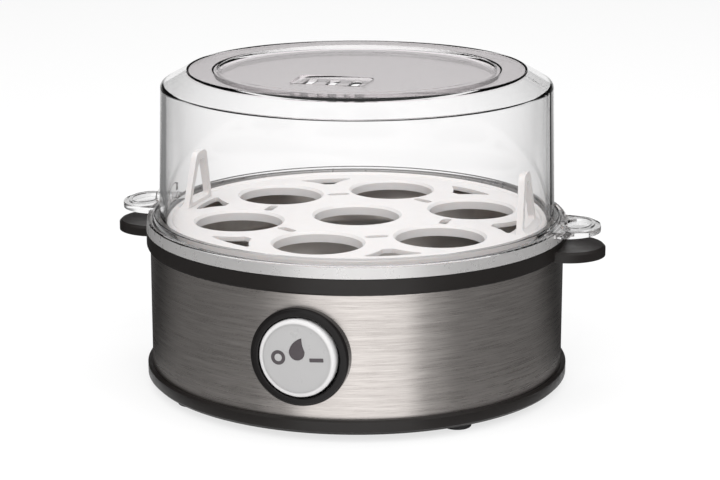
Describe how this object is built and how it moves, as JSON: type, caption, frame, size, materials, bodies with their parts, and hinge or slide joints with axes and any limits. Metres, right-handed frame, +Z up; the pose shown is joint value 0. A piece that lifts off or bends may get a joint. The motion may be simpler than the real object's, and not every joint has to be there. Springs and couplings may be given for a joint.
{
  "type": "electric egg cooker",
  "caption": "Round electric egg cooker with a steel-sleeved base, rocker switch, holed egg tray with lifting loops and a clear lift-off lid with side tabs.",
  "frame": {"origin": "centre of the base on the surface it stands on", "axes": "+Z up, -Y to the front with the switch, +X to the right along the side tabs"},
  "size_m": [0.2012, 0.1766, 0.1273],
  "materials": {
    "black_plastic": "satin charcoal polypropylene",
    "foot_rubber": "soft matte",
    "screw_steel": "zinc plated",
    "brushed_sleeve": "fine horizontal brushing",
    "silicone": "translucent matte",
    "dish_steel": "satin pressed sheet",
    "spreader_aluminium": "plain cast",
    "element_steel": "oxidised tube",
    "thermostat_plastic": "moulded phenolic",
    "fuse_steel": "plated",
    "terminal_brass": "plain",
    "bezel_gloss": "high gloss black",
    "switch_plastic": "moulded nylon",
    "lamp_glass": "clear",
    "button_grey": "satin light grey",
    "lens_smoke": "smoked window",
    "inlet_rubber": "matte",
    "block_plastic": "natural nylon",
    "lead_brown": "satin sleeve",
    "lead_black": "satin sleeve",
    "lead_blue": "satin sleeve",
    "lead_green": "satin sleeve",
    "tray_white": "satin milky polypropylene",
    "lid_clear": "clear polycarbonate"
  },
  "bodies": {
    "base": {"bottom_housing": "black_plastic", "foot_rear_right": "foot_rubber", "foot_rear_left": "foot_rubber", "foot_front_left": "foot_rubber", "foot_front_right": "foot_rubber", "housing_screws": "screw_steel", "steel_sleeve": "brushed_sleeve", "upper_rim": "black_plastic", "dish_gasket": "silicone", "heating_dish": "dish_steel", "heat_spreader": "spreader_aluminium", "heating_element": "element_steel", "dish_clamps": "screw_steel", "clamp_screws": "screw_steel", "thermostat": "thermostat_plastic", "thermostat_bracket": "screw_steel", "bracket_screws": "screw_steel", "thermal_fuse": "fuse_steel", "earth_tag": "terminal_brass", "switch_bezel": "bezel_gloss", "switch_body": "switch_plastic", "switch_terminals": "terminal_brass", "rocker_pin": "screw_steel", "pilot_lamp": "lamp_glass", "cord_inlet": "inlet_rubber", "terminal_block": "block_plastic", "terminal_screws": "terminal_brass", "lead_live": "lead_brown", "lead_switched": "lead_black", "lead_neutral": "lead_blue", "lead_heater": "lead_black", "lead_earth": "lead_green"},
    "rocker": {"rocker_button": "button_grey", "pilot_lens": "lens_smoke"},
    "tray": {"egg_tray": "tray_white"},
    "cover": {"lid": "lid_clear"}
  },
  "joints": [
    {"name": "rocker_tilt", "type": "hinge", "parent": "base", "child": "rocker", "pos_m": [0, -0.081, 0.0328], "axis": [0, 0, 1], "range_deg": [0, 8]},
    {"name": "tray_lift", "type": "slide", "parent": "base", "child": "tray", "axis": [0, 0, 1], "range_m": [0, 0.08]},
    {"name": "lid_lift", "type": "slide", "parent": "tray", "child": "cover", "axis": [0, 0, 1], "range_m": [0, 0.12]}
  ]
}
